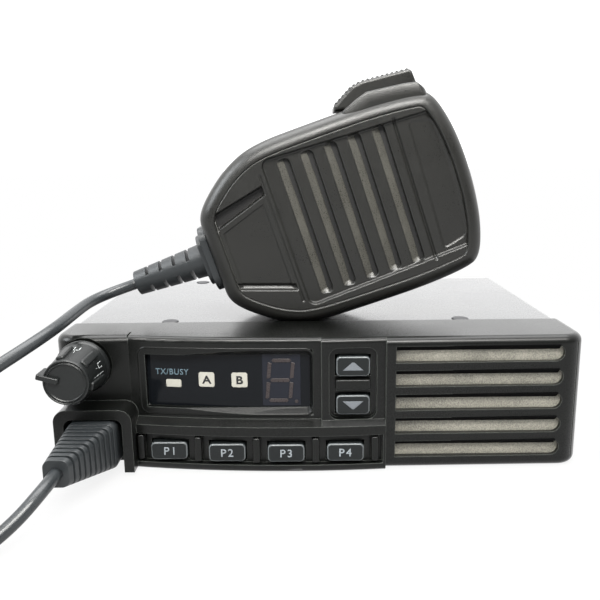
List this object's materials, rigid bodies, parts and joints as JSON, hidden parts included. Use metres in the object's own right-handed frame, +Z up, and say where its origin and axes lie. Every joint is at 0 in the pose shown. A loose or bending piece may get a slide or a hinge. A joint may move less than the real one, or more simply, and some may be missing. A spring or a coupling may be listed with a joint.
{
  "type": "mobile two-way radio",
  "caption": "Vehicle two-way radio with curved front panel, keys, volume knob, finned chassis and a fist microphone on a curly cord.",
  "frame": {"origin": "centre of the radio's width on the plane of its underside, 55 mm behind the front panel's face", "axes": "+Z up, +X to the right as seen from the front, +Y from the front panel towards the heat sink"},
  "size_m": [0.2699, 0.1875, 0.1211],
  "materials": {
    "panel_plastic": "fine moulded texture",
    "window_clear": "clear, smoke tinted",
    "display_glass": "smooth",
    "lamp_amber": "translucent",
    "key_rubber": "soft matt",
    "board": "lacquered board",
    "perforated_metal": "perforated, matt",
    "speaker_metal": "plain",
    "speaker_paper": "fibrous",
    "ferrite": "dull",
    "knob_rubber": "soft matt",
    "metal_bright": "plated",
    "contact_gold": "plated",
    "plug_clear": "smooth",
    "cord_rubber": "smooth, slightly glossy",
    "cast_black": "painted black, fine texture",
    "cover_steel": "painted black, fine texture",
    "screw_black": "blackened",
    "tin": "tinned",
    "ceramic_black": "moulded",
    "can_aluminium": "sleeved",
    "white_insulator": "smooth",
    "handset_plastic": "fine moulded texture",
    "hanger_metal": "plain"
  },
  "bodies": {
    "radio": {"front_panel": "panel_plastic", "display_window": "window_clear", "digit_display": "display_glass", "status_lamp": "lamp_amber", "channel_lamp_a": "lamp_amber", "channel_lamp_b": "lamp_amber", "key_mat": "key_rubber", "panel_board": "board", "speaker_mesh": "perforated_metal", "speaker_frame": "speaker_metal", "speaker_cone": "speaker_paper", "speaker_magnet": "ferrite", "volume_control": "speaker_metal", "mic_jack": "ceramic_black", "jack_contacts": "contact_gold", "panel_gasket": "cord_rubber", "chassis": "cast_black", "top_cover": "cover_steel", "cover_screws": "screw_black", "main_board": "board", "board_screws": "screw_black", "rf_shield": "tin", "power_module": "ceramic_black", "filter_capacitors": "can_aluminium", "power_inlet": "ceramic_black", "accessory_connector": "ceramic_black", "power_blades": "contact_gold", "accessory_pins": "contact_gold", "antenna_connector": "metal_bright", "antenna_insulator": "white_insulator", "antenna_contact": "contact_gold", "cord_curls": "cord_rubber", "mic_lead": "cord_rubber", "plug_lead": "cord_rubber"},
    "knob": {"volume_knob": "knob_rubber", "volume_shaft": "metal_bright"},
    "key_p1": {"key_p1": "key_rubber"},
    "key_p2": {"key_p2": "key_rubber"},
    "key_p3": {"key_p3": "key_rubber"},
    "key_p4": {"key_p4": "key_rubber"},
    "up_key": {"up_key": "key_rubber"},
    "down_key": {"down_key": "key_rubber"},
    "plug": {"plug_boot": "cord_rubber", "mic_plug": "plug_clear", "plug_contacts": "contact_gold"},
    "handset": {"handset_front_shell": "handset_plastic", "handset_rear_shell": "handset_plastic", "handset_screws": "screw_black", "handset_mesh": "speaker_paper", "mic_capsule": "can_aluminium", "capsule_holder": "cord_rubber", "handset_board": "board", "ptt_switch": "ceramic_black", "hang_button": "hanger_metal", "strain_relief": "cord_rubber"},
    "ptt": {"ptt_button": "handset_plastic"}
  },
  "joints": [
    {"name": "volume_turn", "type": "hinge", "parent": "radio", "child": "knob", "pos_m": [-0.0704, -0.055, 0.0321], "axis": [0, 1, 0], "range_deg": [-75, 225]},
    {"name": "key_p1_press", "type": "slide", "parent": "radio", "child": "key_p1", "axis": [0, 1, 0], "range_m": [0, 0.0008], "stiffness_N_per_m": 1500, "springref_m": -0.0003},
    {"name": "key_p2_press", "type": "slide", "parent": "radio", "child": "key_p2", "axis": [0, 1, 0], "range_m": [0, 0.0008], "stiffness_N_per_m": 1500, "springref_m": -0.0003},
    {"name": "key_p3_press", "type": "slide", "parent": "radio", "child": "key_p3", "axis": [0, 1, 0], "range_m": [0, 0.0008], "stiffness_N_per_m": 1500, "springref_m": -0.0003},
    {"name": "key_p4_press", "type": "slide", "parent": "radio", "child": "key_p4", "axis": [0, 1, 0], "range_m": [0, 0.0008], "stiffness_N_per_m": 1500, "springref_m": -0.0003},
    {"name": "up_key_press", "type": "slide", "parent": "radio", "child": "up_key", "axis": [0, 1, 0], "range_m": [0, 0.0008], "stiffness_N_per_m": 1500, "springref_m": -0.0003},
    {"name": "down_key_press", "type": "slide", "parent": "radio", "child": "down_key", "axis": [0, 1, 0], "range_m": [0, 0.0008], "stiffness_N_per_m": 1500, "springref_m": -0.0003},
    {"name": "plug_pull", "type": "slide", "parent": "radio", "child": "plug", "axis": [0, -1, 0], "range_m": [0, 0.02], "deforming": ["plug_lead"]},
    {"name": "handset_lift", "type": "slide", "parent": "radio", "child": "handset", "axis": [0, 0, 1], "range_m": [0, 0.06], "deforming": ["mic_lead"]},
    {"name": "ptt_press", "type": "hinge", "parent": "handset", "child": "ptt", "pos_m": [0.01135, -0.0207, 0.10458], "axis": [0, 1, 0], "range_deg": [0, 5.5], "stiffness_Nm_per_rad": 0.3, "springref_deg": -2.86}
  ]
}
